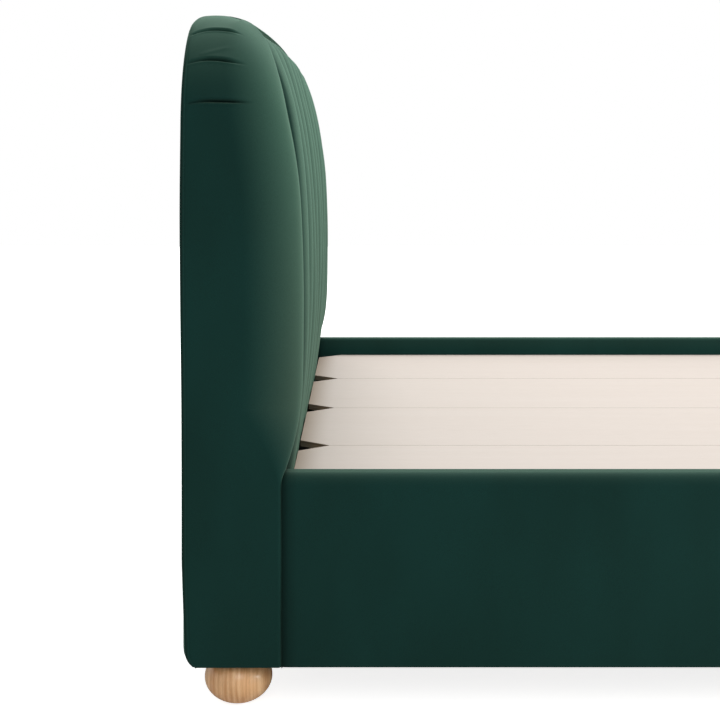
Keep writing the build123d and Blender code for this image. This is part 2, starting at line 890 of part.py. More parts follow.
# Rails
for name, side in sides.items():
    y_range = sorted((side * half_inside, side * half_width))
    cover = rail_cover(rail_shape(side_rail_x, y_range), side_core_box(side))
    save(f"side_rail_cover_{name}", drilled(cover, fixings))
    save(f"side_rail_core_{name}", drilled(side_core_box(side), fixings))
    save(f"ledger_{name}", drilled(ledger(side), wood_screws))
foot_shape = rail_shape((foot_inner_x, foot_outer_x), (-half_width, half_width))
save("foot_rail_cover", drilled(rail_cover(foot_shape, foot_core_box()), fixings))
save("foot_rail_core", drilled(foot_core_box(), fixings))
save("foot_ledger", drilled(foot_ledger(), wood_screws))

# Deck
for index in range(bearer_count):
    save(f"bearer_{index + 1}", drilled(bearer(index), wood_screws))
save("centre_beam", centre_beam())
for index in range(board_count):
    save(f"deck_board_{index + 1}", deck_board(index))
for index in range(leg_count):
    save(f"centre_leg_{index + 1}", centre_leg(index))
    save(f"leg_glide_{index + 1}", leg_glide(index))

# Feet and fixings
for index, (x, y) in enumerate(foot_places()):
    save(f"bun_foot_{index + 1}", drilled(bun_foot(x, y), hanger_bolts))
save("felt_pads", *[felt_pad(x, y) for x, y in foot_places()])
corner_blocks = [drilled(make(side), fixings) for make in (foot_block, rail_block) for side in (-1, 1)]
save("corner_blocks", *corner_blocks)
brackets = [bracket(base_front_x, side, 1) for side in (-1, 1)]
brackets += [bracket(foot_inner_x, side, -1) for side in (-1, 1)]
hangers = [beam_hanger(back_x + skin_foot[0], 1), beam_hanger(foot_inner_x, -1)]
save("steel_brackets", *[drilled(piece, bolts) for piece in brackets + hangers])
save("bracket_bolts", *bolts)
save("wood_screws", *wood_screws)
save("hanger_bolts", *hanger_bolts)
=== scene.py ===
"""Upholstered bed in bottle-green velvet: fluted headboard, padded rails, ply deck and bun feet."""

import math

import bpy
import numpy as np
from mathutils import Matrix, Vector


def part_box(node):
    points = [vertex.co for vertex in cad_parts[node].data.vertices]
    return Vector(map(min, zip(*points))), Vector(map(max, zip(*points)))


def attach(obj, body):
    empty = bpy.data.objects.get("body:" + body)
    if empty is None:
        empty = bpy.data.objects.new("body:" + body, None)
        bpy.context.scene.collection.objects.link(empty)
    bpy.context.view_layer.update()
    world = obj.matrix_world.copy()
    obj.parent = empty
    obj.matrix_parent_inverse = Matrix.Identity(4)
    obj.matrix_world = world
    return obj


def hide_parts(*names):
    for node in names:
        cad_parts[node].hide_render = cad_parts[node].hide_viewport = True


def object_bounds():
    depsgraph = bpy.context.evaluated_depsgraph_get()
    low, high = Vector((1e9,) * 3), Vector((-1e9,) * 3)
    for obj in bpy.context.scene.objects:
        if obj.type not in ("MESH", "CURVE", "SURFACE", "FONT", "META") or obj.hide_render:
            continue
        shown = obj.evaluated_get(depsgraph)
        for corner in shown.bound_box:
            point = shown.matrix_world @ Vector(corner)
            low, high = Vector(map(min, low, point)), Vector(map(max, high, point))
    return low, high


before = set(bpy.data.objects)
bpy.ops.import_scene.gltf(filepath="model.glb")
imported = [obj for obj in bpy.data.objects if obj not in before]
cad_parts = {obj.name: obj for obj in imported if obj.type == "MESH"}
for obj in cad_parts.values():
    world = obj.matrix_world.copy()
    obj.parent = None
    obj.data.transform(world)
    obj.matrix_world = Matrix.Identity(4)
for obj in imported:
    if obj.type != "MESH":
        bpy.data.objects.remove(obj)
cad_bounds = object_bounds()

# Camera
# The picture is taken square to the bed's long side from about a metre up, with the film
# shifted and not tilted, so uprights stay upright and the headboard fills the left half.
photo_side = 720
sensor_width = 36.0
vanishing_column = 368.0
vanishing_row = 138.0
near_metres_per_pixel = 0.00169
near_distance = 2.27
headboard_back_column = 181.0
rail_underside_row = 668.0

bed_back = cad_bounds[0][0]
near_side = cad_bounds[0][1]
rail_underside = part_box("side_rail_cover_right")[0].z
camera_place = (
    bed_back + (vanishing_column - headboard_back_column) * near_metres_per_pixel,
    near_side - near_distance,
    rail_underside + (rail_underside_row - vanishing_row) * near_metres_per_pixel,
)
camera_data = bpy.data.cameras.new("photo_camera")
camera_data.sensor_width = sensor_width
camera_data.lens = sensor_width * near_distance / (photo_side * near_metres_per_pixel)
camera_data.shift_x = 1 / 2 - vanishing_column / photo_side
camera_data.shift_y = vanishing_row / photo_side - 1 / 2
camera = bpy.data.objects.new("photo_camera", camera_data)
camera.location = camera_place
camera.rotation_euler = (math.radians(90), 0, 0)
bpy.context.scene.collection.objects.link(camera)
bpy.context.scene.camera = camera
bpy.context.scene.view_settings.view_transform = "Standard"

# Headboard border
# One long strip of velvet over foam, up one side, round the shoulder and along the top to the
# other side. It rolls over the front edge to the seam with the flutes, and the spare cloth of
# each shoulder is taken up in three pleats that start at the welt along the back.
border_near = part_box("border_pad_right")
back_x = border_near[0].x
base_z = border_near[0].z
half_width = -border_near[0].y
top_z = cad_bounds[1][2]
corner_radius = 0.2
seam_inset = 0.164
ridge_inset = 0.085
ridge_drop = 0.0045
ridge_hollow = 0.0065
ridge_fade_power = 8.0
hollow_rise_power = 5.2
hollow_fall_power = 2.0
roll_depth = 0.098
roll_edge_radius = 0.007
roll_clear_z = 0.515
roll_base_z = 0.397
roll_base_power = 4.2
base_depth = 0.17
border_seam_drop = 0.018
border_base_bow = 0.001
bulge_depth = 0.2075
bulge_z = 0.695
shoulder_depth = 0.06
shoulder_power = 2.5
crest_top_z = top_z - 0.007
bulge_base_drop = 0.0295
deck_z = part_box("deck_board_1")[1].z
roll_base_drop = 0.033
top_seam_depth = 0.11
rim_side = 0.006
rim_top_depth = 0.018
rim_top_fall = 0.016
top_crown_middle = 0.038
top_crown_radius = 0.165
top_front_power = 5.0
top_fuller = 0.1
foot_round = 0.0125
foot_round_rise = 0.035
foot_round_power = 3.3
foot_taper = 0.006
foot_taper_rise = 0.18
back_bow = 0.0034
back_bow_z = 0.83
back_bow_reach = 0.24
under_turn = 0.004
middle_push = 0.0075
middle_push_z = (1.05, 1.16)
middle_push_depth = (0.04, 0.1)
corner_y = half_width - corner_radius
corner_z = top_z - corner_radius
seam_y = half_width - seam_inset
hollow_share = hollow_rise_power / (hollow_rise_power + hollow_fall_power)
hollow_peak = hollow_share**hollow_rise_power * (1 - hollow_share) ** hollow_fall_power


def smooth(low, high, value):
    """Smoothstep: 0 below low, 1 above high, and 3t^2 - 2t^3 between them."""
    share = np.clip((value - low) / (high - low), 0, 1)
    return share * share * (3 - 2 * share)


def bell(value, half):
    """Bell curve: e to the power of minus the square of value over half."""
    return np.exp(-((value / half) ** 2))


def crest_depth(z):
    """Depth of the flute crests at a height: superellipse above the bulge, parabola below it."""
    rise = np.clip((z - bulge_z) / (crest_top_z - bulge_z), 0, 1)
    above = shoulder_depth + (bulge_depth - shoulder_depth) * (1 - rise**shoulder_power) ** (
        1 / shoulder_power
    )
    fall = np.clip((bulge_z - z) / (bulge_z - deck_z), 0, None)
    return np.where(z >= bulge_z, above, bulge_depth - bulge_base_drop * fall**2)


def crest_z(depth):
    """Height of the crests at a depth above the bulge: the superellipse solved for height."""
    reach = np.clip((depth - shoulder_depth) / (bulge_depth - shoulder_depth), 0, 1)
    return bulge_z + (crest_top_z - bulge_z) * (1 - reach**shoulder_power) ** (1 / shoulder_power)


def ridge_depth(z):
    """Depth of the border's ridge: a little behind the crests, and most of all on the shoulder.

    Below the bulge a power curve draws it back to the rail's corner.
    """
    rise = np.clip((z - bulge_z) / (crest_top_z - bulge_z), 0, 1)
    hollow = rise**hollow_rise_power * (1 - rise) ** hollow_fall_power / hollow_peak
    above = crest_depth(z) - ridge_drop * (1 - rise**ridge_fade_power) - ridge_hollow * hollow
    fall = np.clip((bulge_z - z) / (bulge_z - roll_base_z), 0, 1)
    below = bulge_depth - ridge_drop - roll_base_drop * fall**roll_base_power
    return np.where(z >= bulge_z, above, np.maximum(below, base_depth))


def foot_rounding(z):
    """How far the back has come forward at a height: a slow taper and a power curve at its foot."""
    taper = np.clip(1 - (z - base_z) / foot_taper_rise, 0, 1)
    low = np.clip(1 - (z - base_z) / foot_round_rise, 0, 1)
    return foot_taper * taper + foot_round * low**foot_round_power


def back_swell(z):
    """How far the padding swells behind the back plane at a height: a bell curve."""
    return back_bow * bell(z - back_bow_z, back_bow_reach)


def fuller_middle(points):
    """Push forward and up of the top front edge: a parabola in y times smoothsteps in z and depth."""
    amount = middle_push * np.maximum(1 - (points[..., 1] / corner_y) ** 2, 0)
    amount = amount * smooth(*middle_push_z, points[..., 2])
    amount = amount * smooth(*middle_push_depth, points[..., 0] - back_x)
    return points + amount[..., None] * np.array([1, 0, 1]) / math.sqrt(2)


least_length = 1e-12


def surface_normals(points):
    """Unit normals of a grid: the cross product of its two central differences."""
    along = np.gradient(points, axis=0)
    across = np.gradient(points, axis=1)
    normals = np.cross(across, along)
    return normals / np.maximum(np.linalg.norm(normals, axis=2, keepdims=True), least_length)


def grid_piece(name, points, crease_shade=None, painted_light=None, turned=False):
    """Smooth-shaded object of a grid of points, with point attributes of painted shade in creases and painted
    light on rounded parts.
    """
    rows, columns = points.shape[:2]
    index = np.arange(rows * columns).reshape(rows, columns)
    quads = np.stack([index[:-1, :-1], index[:-1, 1:], index[1:, 1:], index[1:, :-1]], -1)
    quads = quads.reshape(-1, 4)
    if turned:
        quads = quads[:, ::-1]
    mesh = bpy.data.meshes.new(name)
    mesh.from_pydata(points.reshape(-1, 3).tolist(), [], quads.tolist())
    mesh.polygons.foreach_set("use_smooth", np.ones(len(mesh.polygons), bool))
    for label, values in (("crease_shade", crease_shade), ("painted_light", painted_light)):
        if values is not None:
            field = mesh.attributes.new(label, "FLOAT", "POINT")
            field.data.foreach_set("value", np.clip(values, 0, 1).ravel().astype(np.float32))
    piece = bpy.data.objects.new(name, mesh)
    bpy.context.scene.collection.objects.link(piece)
    return piece


def give_wall(piece, thickness):
    """Closes an open sheet into a wall that grows inwards from its face."""
    wall = piece.modifiers.new("wall", "SOLIDIFY")
    wall.thickness = thickness
    wall.offset = -1
    return piece


top_seam_z = float(crest_z(np.float64(top_seam_depth)))

# Rows of the strip: outline point, direction to the seam and distance to it
pleat_angles = np.radians([11.0, 33.5, 56.0])
turned_under_rows = np.array([0, 0.3, 1.0])
foot_rows = np.arange(0.007, 0.05, 0.0035)
side_rows_start = 0.056
side_row_count = 76
corner_row_count = 91
rows_by_pleat = np.radians(np.arange(-6.5, 3.6, 0.28))
least_turn = 0.004
turn_digits = 4
top_row_count = 46
seam_corner_power = 24.0
least_cosine = 1e-6
side_z = np.concatenate(
    [
        base_z + under_turn * turned_under_rows,
        base_z + foot_rows,
        np.linspace(base_z + side_rows_start, corner_z, side_row_count),
    ]
)
turn = np.linspace(0, math.pi / 2, corner_row_count)[1:]
by_pleat = np.concatenate([pleat + rows_by_pleat for pleat in pleat_angles])
turn = np.unique(np.round(np.concatenate([turn, by_pleat[by_pleat > least_turn]]), turn_digits))
top_y = np.linspace(corner_y, 0, top_row_count)[1:]

outline_y = np.concatenate([np.full(len(side_z), half_width), corner_y + corner_radius * np.cos(turn), top_y])
outline_z = np.concatenate([side_z, corner_z + corner_radius * np.sin(turn), np.full(len(top_y), top_z)])
inward_y = np.concatenate([np.full(len(side_z), -1.0), -np.cos(turn), np.zeros(len(top_y))])
inward_z = np.concatenate([np.zeros(len(side_z)), -np.sin(turn), np.full(len(top_y), -1.0)])
seam_side = (seam_y - corner_y) / np.maximum(np.cos(turn), least_cosine)
seam_top = (top_seam_z - corner_z) / np.maximum(np.sin(turn), least_cosine)
seam_reach = (seam_side**-seam_corner_power + seam_top**-seam_corner_power) ** (-1 / seam_corner_power)
strip_width = np.concatenate(
    [np.full(len(side_z), seam_inset), corner_radius - seam_reach, np.full(len(top_y), top_z - top_seam_z)]
)
turned = np.concatenate([np.zeros(len(side_z)), turn, np.full(len(top_y), math.pi / 2)])

o_y, o_z = outline_y[:, None], outline_z[:, None]
in_y, in_z = inward_y[:, None], inward_z[:, None]
width = strip_width[:, None]
angle = turned[:, None]
narrow = width / seam_inset
grown = np.clip((o_z - roll_base_z) / (roll_clear_z - roll_base_z), 0, 1)

# Columns of the strip: back edge, flat, roll, slope to the seam and tuck
rim_turn = np.radians([0, 15, 30, 45, 60, 75, 90])
welt_columns = [0.008, 0.016, 0.024, 0.032, 0.042, 0.055]
flat_columns_start = 0.08
flat_column_count = 18
roll_column_count = 22
slope_column_count = 14
flat_columns = np.linspace(flat_columns_start, 1, flat_column_count)
flat_share = np.concatenate([welt_columns, flat_columns])
roll_turn = np.linspace(0, math.pi / 2, roll_column_count)[1:]
slope_share = np.linspace(0, 1, slope_column_count)[1:]
rim_widens = (math.radians(20), math.radians(90))
turns_to_top = (math.radians(56), math.radians(84))
front_turns_to_top = (math.radians(71), math.radians(87))
lip_depth = 0.0012
lip_insets = (0.02, 0.008)
top_fuller_reach = 0.3
tuck_depths = np.array([0.005, 0.012, 0.018])
tuck_insets = np.array([0.0004, 0.0008, 0.004])
tuck_more_at_top = 2
back_swell_depth = 0.09

at_top = smooth(*rim_widens, angle)
rim_depth = rim_side + (rim_top_depth - rim_side) * at_top
rim_fall = rim_side + (rim_top_fall - rim_side) * at_top
set_back = foot_rounding(o_z)
like_top = smooth(*turns_to_top, angle)
like_front = smooth(*front_turns_to_top, angle)

ridge_in = (roll_edge_radius + (ridge_inset - roll_edge_radius) * grown) * narrow
ridge_at = ridge_depth(o_z + in_z * ridge_in)
roll_length = (roll_edge_radius + (roll_depth - roll_edge_radius) * grown) * narrow
fallen = like_top * (ridge_at - roll_length - top_crown_middle) ** 2 / (2 * top_crown_radius)
ridge_at = ridge_depth(o_z + in_z * (ridge_in + fallen))
roll_start = ridge_at - roll_length
flat_end = roll_start * (1 - like_front) + shoulder_depth * like_front
fallen = like_top * (flat_end - top_crown_middle) ** 2 / (2 * top_crown_radius)
drop = (border_base_bow + (border_seam_drop - border_base_bow) * grown) * narrow

back_depth = np.full((len(o_z), len(lip_insets)), lip_depth) + set_back
back_inset = np.concatenate([rim_fall + lip for lip in lip_insets], 1)
rim_x = rim_depth * (1 - np.cos(rim_turn)) + set_back
rim_in = rim_fall * (1 - np.sin(rim_turn))
flat_x = (rim_depth + set_back) + (flat_end - rim_depth - set_back) * flat_share
flat_in = like_top * (flat_x - top_crown_middle) ** 2 / (2 * top_crown_radius)
rim_in = rim_in + like_top * (rim_x - top_crown_middle) ** 2 / (2 * top_crown_radius)
roll_in = fallen + ridge_in * (1 - np.cos(roll_turn))
roll_x = roll_start + (ridge_depth(o_z + in_z * roll_in) - roll_start) * np.sin(roll_turn)
slope_in = roll_in[:, -1:] + (width - roll_in[:, -1:]) * slope_share
slope_x = ridge_depth(o_z + in_z * slope_in) - drop * slope_share**2
front_x = np.concatenate([roll_x, slope_x], 1)
front_in = np.concatenate([roll_in, slope_in], 1)
front_share = np.linspace(0, 1, front_x.shape[1] + 1)[1:]
seam_crest = crest_depth(o_z + in_z * width)
top_x = shoulder_depth + (seam_crest - shoulder_depth) * front_share
fuller = 1 - top_fuller * smooth(0, top_fuller_reach, corner_y - o_y)
crowned = (top_x - top_crown_middle) ** 2 / (2 * top_crown_radius) * fuller
top_in = crowned + (width - crowned[:, -1:]) * front_share**top_front_power
front_x = front_x * (1 - like_front) + top_x * like_front
front_in = front_in * (1 - like_front) + top_in * like_front
tuck_x = front_x[:, -1:] - tuck_depths
tuck_in = front_in[:, -1:] + tuck_insets * (1 + tuck_more_at_top * like_top)

back_inset = back_inset + rim_in[:, :1] - rim_fall
depth = np.concatenate([back_depth, rim_x, flat_x, front_x, tuck_x], 1)
depth = depth - back_swell(o_z) * (1 - smooth(0, back_swell_depth, depth))
inset = np.concatenate([back_inset, rim_in, flat_in, front_in, tuck_in], 1)
strip = fuller_middle(np.stack([back_x + depth, -(o_y + in_y * inset), o_z + in_z * inset], 2))

# Welt along the back edge, raised along the normals like the pleats and the slack
welt_place = 0.0095
welt_step = 0.0028
welt_half = 0.0014
welt_height = 0.0013
welt_groove = 0.0016
# Painted shade in the groove behind the welt and, lighter, along its front
welt_groove_shade = 0.8
welt_front_shade = 0.3
arc = np.cumsum(np.linalg.norm(np.diff(strip, axis=1, prepend=strip[:, :1]), axis=2), axis=1)
first_rim = len(lip_insets)
welt = arc - arc[:, first_rim : first_rim + 1] - welt_place
raised = welt_height * bell(welt, welt_half) - welt_groove * bell(welt + welt_step, welt_half)
crease_shading = welt_groove_shade * bell(welt + welt_step, welt_half)
crease_shading += welt_front_shade * bell(welt - welt_step, welt_half)

# Pleats: a sharp groove with a full fold above it and a low lip below it, and painted shade along the groove
pleat_climbs = np.radians([2.2, 3.5, 7.2])
pleat_droops = np.radians([0.3, 1.5, 1.8])
pleat_ends = (0.124, 0.107, 0.098)
pleat_strengths = (1.0, 0.9, 0.75)
climb_depth = 0.048
climb_power = 2.2
droop_depths = (0.045, 0.1)
pleat_opens = (0.03, 0.13)
pleat_shallow = 0.4
pleat_deepens = (0.12, 0.5)
pleat_closes = (0.64, 1.0)
groove_depth = 0.0052
groove_half = 0.0021
fold_height = 0.0034
fold_rise = (0.0002, 0.007)
fold_crest = 0.005
fold_length = 0.014
lip_height = 0.0014
lip_place = 0.0052
lip_half = 0.0024
pleat_groove_shade = 1.1
pleat_shade_place = 0.0003
pleat_shade_half = 0.0024
up = corner_radius * angle + np.minimum(o_z - corner_z, 0)
for pleat, climb, droop, end, strength in zip(
    pleat_angles, pleat_climbs, pleat_droops, pleat_ends, pleat_strengths
):
    run = np.clip(depth / end, 0, 1)
    low = np.clip(1 - depth / climb_depth, 0, 1) ** climb_power
    line = corner_radius * (pleat - climb * low - droop * smooth(*droop_depths, depth))
    off = up - line
    deep = pleat_shallow + (1 - pleat_shallow) * smooth(*pleat_deepens, run)
    fade = strength * smooth(*pleat_opens, run) * deep * (1 - smooth(*pleat_closes, run))
    raised -= fade * groove_depth * bell(off, groove_half)
    full_fold = smooth(*fold_rise, off) * np.exp(-np.maximum(off - fold_crest, 0) / fold_length)
    raised += fade * fold_height * full_fold
    raised += fade * lip_height * bell(off + lip_place, lip_half)
    crease_shading += fade * pleat_groove_shade * bell(off - pleat_shade_place, pleat_shade_half)

# A short soft fold above the middle pleat
soft_fold_angle = 36.5
soft_fold_climb = 5.0
soft_fold_start = 0.03
soft_fold_run = 0.05
soft_fold_opens = (0.02, 0.045)
soft_fold_closes = (0.062, 0.09)
soft_fold_height = 0.0009
soft_fold_half = 0.0035
fold_share = np.clip((depth - soft_fold_start) / soft_fold_run, 0, 1)
fold_line = corner_radius * np.radians(soft_fold_angle + soft_fold_climb * fold_share)
fold_fade = smooth(*soft_fold_opens, depth) * (1 - smooth(*soft_fold_closes, depth))
raised += soft_fold_height * fold_fade * bell(up - fold_line, soft_fold_half)

# Slack of the cloth over the foam, and painted shade at the seam and at the rail's corner
slack_height = 0.0006
slack_waves = (21.0, 8.3)
slack_turns = (9.0, 15.3)
slack_shift = 1.1
slack_starts = (0.01, 0.05)
seam_shade = 0.85
seam_shade_half = 0.012
ridge_band = 0.01
rail_corner_shade = 0.7
rail_corner_shade_z = (0.41, 0.5)
rolling = np.sin(up * slack_waves[0] + arc * slack_turns[0])
rolling = rolling * np.sin(up * slack_waves[1] - arc * slack_turns[1] + slack_shift)
raised += slack_height * rolling * smooth(*slack_starts, arc)
crease_shading += seam_shade * bell(width - inset, seam_shade_half) * (1 - like_top)
beyond_ridge = smooth(0, ridge_band, inset - ridge_in)
crease_shading += rail_corner_shade * beyond_ridge * (1 - smooth(*rail_corner_shade_z, o_z)) * (1 - like_top)
strip += raised[:, :, None] * surface_normals(strip)

# Painted light: a paler tone on the roll, the shoulder and the top, where they face the lamps, a little less
# of it on the shoulder
roll_light_gain = 1.25
roll_light_power = 1.4
top_light_angles = (math.radians(8), math.radians(80))
shoulder_light_cut = 0.25
shoulder_light_cut_angles = (math.radians(20), math.radians(50))
roll_lit_share = np.zeros_like(depth)
first_roll = back_depth.shape[1] + len(rim_turn) + len(flat_share)
first_slope = first_roll + len(roll_turn)
roll_lit_share[:, first_roll:first_slope] = np.minimum(roll_light_gain * np.sin(roll_turn) ** roll_light_power, 1) * grown
roll_lit_share[:, first_slope:] = grown
lit_share = 1 - (1 - roll_lit_share) * (1 - smooth(*top_light_angles, angle))
lit_share *= 1 - shoulder_light_cut * smooth(*shoulder_light_cut_angles, angle)

mirrored = (strip * np.array([1, -1, 1]))[-2::-1]
strip = np.concatenate([strip, mirrored], 0)
crease_shading = np.concatenate([crease_shading, crease_shading[-2::-1]], 0)
lit_share = np.concatenate([lit_share, lit_share[-2::-1]], 0)
pad_wall = 0.004
border = give_wall(grid_piece("headboard_border", strip, crease_shading, lit_share), pad_wall)


# Velvet and the shader nodes that all materials share
def mix_shades(nodes, links, factor, first, second, blend="MIX"):
    """Mix node between two colours. The factor and the colours are values or linked outputs."""
    mix = nodes.new("ShaderNodeMix")
    mix.data_type = "RGBA"
    mix.blend_type = blend
    if isinstance(factor, bpy.types.NodeSocket):
        links.new(factor, mix.inputs["Factor"])
    else:
        mix.inputs["Factor"].default_value = factor
    for label, shade in (("A", first), ("B", second)):
        if isinstance(shade, bpy.types.NodeSocket):
            links.new(shade, mix.inputs[label])
        else:
            mix.inputs[label].default_value = (*shade, 1)
    return mix.outputs["Result"]


def noise(nodes, links, vector, scale, detail=3.0):
    """Noise texture on the given coordinates."""
    texture = nodes.new("ShaderNodeTexNoise")
    texture.inputs["Scale"].default_value = scale
    texture.inputs["Detail"].default_value = detail
    links.new(vector, texture.inputs["Vector"])
    return texture.outputs["Fac"]


def levels(nodes, links, value, low, high):
    """Stretches a value between two levels to 0 and 1."""
    spread = nodes.new("ShaderNodeMapRange")
    spread.inputs["From Min"].default_value = low
    spread.inputs["From Max"].default_value = high
    links.new(value, spread.inputs["Value"])
    return spread.outputs["Result"]


def stretched(nodes, links, scale):
    """Object coordinates scaled by axis, so that a pattern runs along the axis with least scale."""
    place = nodes.new("ShaderNodeTexCoord")
    mapping = nodes.new("ShaderNodeMapping")
    mapping.inputs["Scale"].default_value = scale
    links.new(place.outputs["Object"], mapping.inputs["Vector"])
    return mapping.outputs["Vector"]


def bump(nodes, links, shader, height, strength, distance):
    """Bump from a height field on a shader's normal."""
    relief = nodes.new("ShaderNodeBump")
    relief.inputs["Strength"].default_value = strength
    relief.inputs["Distance"].default_value = distance
    links.new(height, relief.inputs["Height"])
    links.new(relief.outputs["Normal"], shader.inputs["Normal"])


def new_material(name):
    """Material with a Principled shader, its nodes and links."""
    material = bpy.data.materials.new(name)
    material.use_nodes = True
    tree = material.node_tree
    return material, tree.nodes, tree.links, tree.nodes["Principled BSDF"]


ground_shades = ((0.0019, 0.0265, 0.022), (0.0028, 0.0325, 0.0275))
patch_stretch = (1, 1, 0.45)
patch_scale = 7.0
patch_levels = (0.35, 0.65)
# Painted light: the paler tone of the rounded parts that face the lamps, paler and greener from 0.5 to 0.98 m
# of height
lit_pile_shades = ((0.03, 0.0635, 0.0455), (0.0345, 0.0905, 0.064))
lit_pile_z = (0.5, 0.98)
pile_stretch = (1, 1, 0.5)
pile_scale = 1400.0
pile_levels = (0.2, 0.6)
pile_share = 0.35
pile_bump = (0.25, 0.0006)
velvet_detail = 2.0
full_shade = (1, 1, 1)
# Painted shade: the colour multiplier and the sheen weight in creases, seams and joints
sunk_shade = (0.12, 0.34, 0.32)
sheen_unshaded = 0.34
sheen_in_painted_shade = 0.02
sheen_roughness = 0.5
sheen_tint = (0.37, 0.64, 0.46, 1)
velvet_roughness = 0.8
velvet_specular = 0.1


def velvet_material(name):
    """Short-pile velvet: brushed patches of a dark ground, mixed to a paler tone that is painted light on the
    rounded parts, paler and greener higher up.

    Painted shade in creases, seams and joints multiplies the tone down and takes the green sheen away.
    """
    material, nodes, links, shader = new_material(name)
    painted_light = nodes.new("ShaderNodeAttribute")
    painted_light.attribute_name = "painted_light"
    crease_shade = nodes.new("ShaderNodeAttribute")
    crease_shade.attribute_name = "crease_shade"
    patches = noise(nodes, links, stretched(nodes, links, patch_stretch), patch_scale, velvet_detail)
    ground = mix_shades(nodes, links, levels(nodes, links, patches, *patch_levels), *ground_shades)
    height = nodes.new("ShaderNodeSeparateXYZ")
    place = nodes.new("ShaderNodeTexCoord")
    links.new(place.outputs["Object"], height.inputs["Vector"])
    upper = levels(nodes, links, height.outputs["Z"], *lit_pile_z)
    lit_pile = mix_shades(nodes, links, upper, *lit_pile_shades)
    tone = mix_shades(nodes, links, painted_light.outputs["Fac"], ground, lit_pile)
    pile = noise(nodes, links, stretched(nodes, links, pile_stretch), pile_scale, velvet_detail)
    tone = mix_shades(nodes, links, pile_share, tone, levels(nodes, links, pile, *pile_levels), "MULTIPLY")
    sunk = mix_shades(nodes, links, crease_shade.outputs["Fac"], full_shade, sunk_shade)
    tone = mix_shades(nodes, links, 1, tone, sunk, "MULTIPLY")
    links.new(tone, shader.inputs["Base Color"])
    sheen = nodes.new("ShaderNodeMapRange")
    sheen.inputs["To Min"].default_value = sheen_unshaded
    sheen.inputs["To Max"].default_value = sheen_in_painted_shade
    links.new(crease_shade.outputs["Fac"], sheen.inputs["Value"])
    links.new(sheen.outputs["Result"], shader.inputs["Sheen Weight"])
    shader.inputs["Roughness"].default_value = velvet_roughness
    shader.inputs["Specular IOR Level"].default_value = velvet_specular
    shader.inputs["Sheen Roughness"].default_value = sheen_roughness
    shader.inputs["Sheen Tint"].default_value = sheen_tint
    bump(nodes, links, shader, pile, *pile_bump)
    return material


velvet = velvet_material("green_velvet_pile")


def dress(piece, body, slot, material, *replaced, fill=None):
    """Gives a piece its material and body, and hides the imported parts that it replaces."""
    piece.data.materials.clear()
    piece.data.materials.append(material)
    if replaced:
        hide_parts(*replaced)
    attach(piece, body)
    return piece


pad_fill = 0.8
border_nodes = ("border_pad_right", "border_pad_left", "top_pad")
dress(border, "bed_frame", "green_velvet", velvet, *border_nodes, fill=pad_fill)

# Flutes
# Eight upright channels of velvet over foam, side by side on the bent front. Each is stitched to
# the skin down both edges, crowns between its seams, and is drawn in at the seam along the top.
flute_count = 8
flute_drop = 0.018
flute_power = 2.0
crown_power = 0.6
flute_end = 0.007
flute_end_reach = 0.05
flute_low_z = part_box("flute_1")[0].z
flute_width = 2 * seam_y / flute_count
flute_gap = 0.0003
lower_row_count = 70
upper_row_count = 110
upper_row_stop = 0.999
upper_row_power = 0.9
flute_columns = 45
stuffing_pressure = 4.0
stuffing_frames = 20
stuffing_quality = 5
stuffing_swell = 0.003
stuffing_cap = 0.0035
stuffing_reach = 0.09

lower_z = np.linspace(flute_low_z, bulge_z, lower_row_count)[:-1]
upper_turn = np.linspace(0, 1, upper_row_count) * math.pi / 2
upper_z = bulge_z + (top_seam_z - bulge_z) * np.sin(upper_turn * upper_row_stop) ** upper_row_power
flute_z = np.concatenate([lower_z, upper_z])
flute_x = crest_depth(flute_z)
tangent = np.stack([np.gradient(flute_x), np.gradient(flute_z)], 1)
tangent /= np.linalg.norm(tangent, axis=1, keepdims=True)
out_x, out_z = tangent[:, 1:2], -tangent[:, 0:1]
flute_run = np.concatenate([[0], np.cumsum(np.hypot(np.diff(flute_x), np.diff(flute_z)))])
from_end = flute_run[-1] - flute_run
across = np.sin(np.linspace(-math.pi / 2, math.pi / 2, flute_columns))
crown = np.maximum(1 - np.abs(across) ** flute_power, 0) ** crown_power
drawn = flute_end * (1 - smooth(0, flute_end_reach, from_end)) ** 2
sunk = flute_drop * (1 - crown)[None, :] + drawn[:, None] * crown[None, :]

away_from_ends = smooth(0, stuffing_reach, np.minimum(flute_run, from_end))
slack = sunk + stuffing_swell * away_from_ends[:, None] * crown[None, :]
flat_run = np.stack(
    [
        back_x + flute_x[:, None] - slack * out_x,
        across[None, :] * (flute_width / 2 - flute_gap) + 0 * slack,
        flute_z[:, None] - slack * out_z,
    ],
    2,
)


def stuffed(sheet_points):
    """How far each point of a stitched sheet moves when cloth simulation blows it up, capped."""
    sheet = grid_piece("channel_sheet", sheet_points)
    rows, columns = sheet_points.shape[:2]
    index = np.arange(rows * columns).reshape(rows, columns)
    stitched = sheet.vertex_groups.new(name="stitched")
    edge = np.concatenate([index[0], index[-1], index[:, 0], index[:, -1]])
    stitched.add(np.unique(edge).tolist(), 1.0, "ADD")
    cloth = sheet.modifiers.new("stuffing", "CLOTH")
    cloth.settings.vertex_group_mass = "stitched"
    cloth.settings.use_pressure = True
    cloth.settings.uniform_pressure_force = stuffing_pressure
    cloth.settings.effector_weights.gravity = 0
    cloth.settings.quality = stuffing_quality
    scene = bpy.context.scene
    for step in range(1, stuffing_frames + 1):
        scene.frame_set(step)
    blown = sheet.evaluated_get(bpy.context.evaluated_depsgraph_get())
    flat = np.empty(rows * columns * 3)
    blown.data.vertices.foreach_get("co", flat)
    moved = flat.reshape(rows, columns, 3) - sheet_points
    scene.frame_set(1)
    bpy.data.objects.remove(sheet)
    far = np.linalg.norm(moved, axis=2, keepdims=True)
    return moved * np.minimum(1, stuffing_cap / np.maximum(far, least_length))


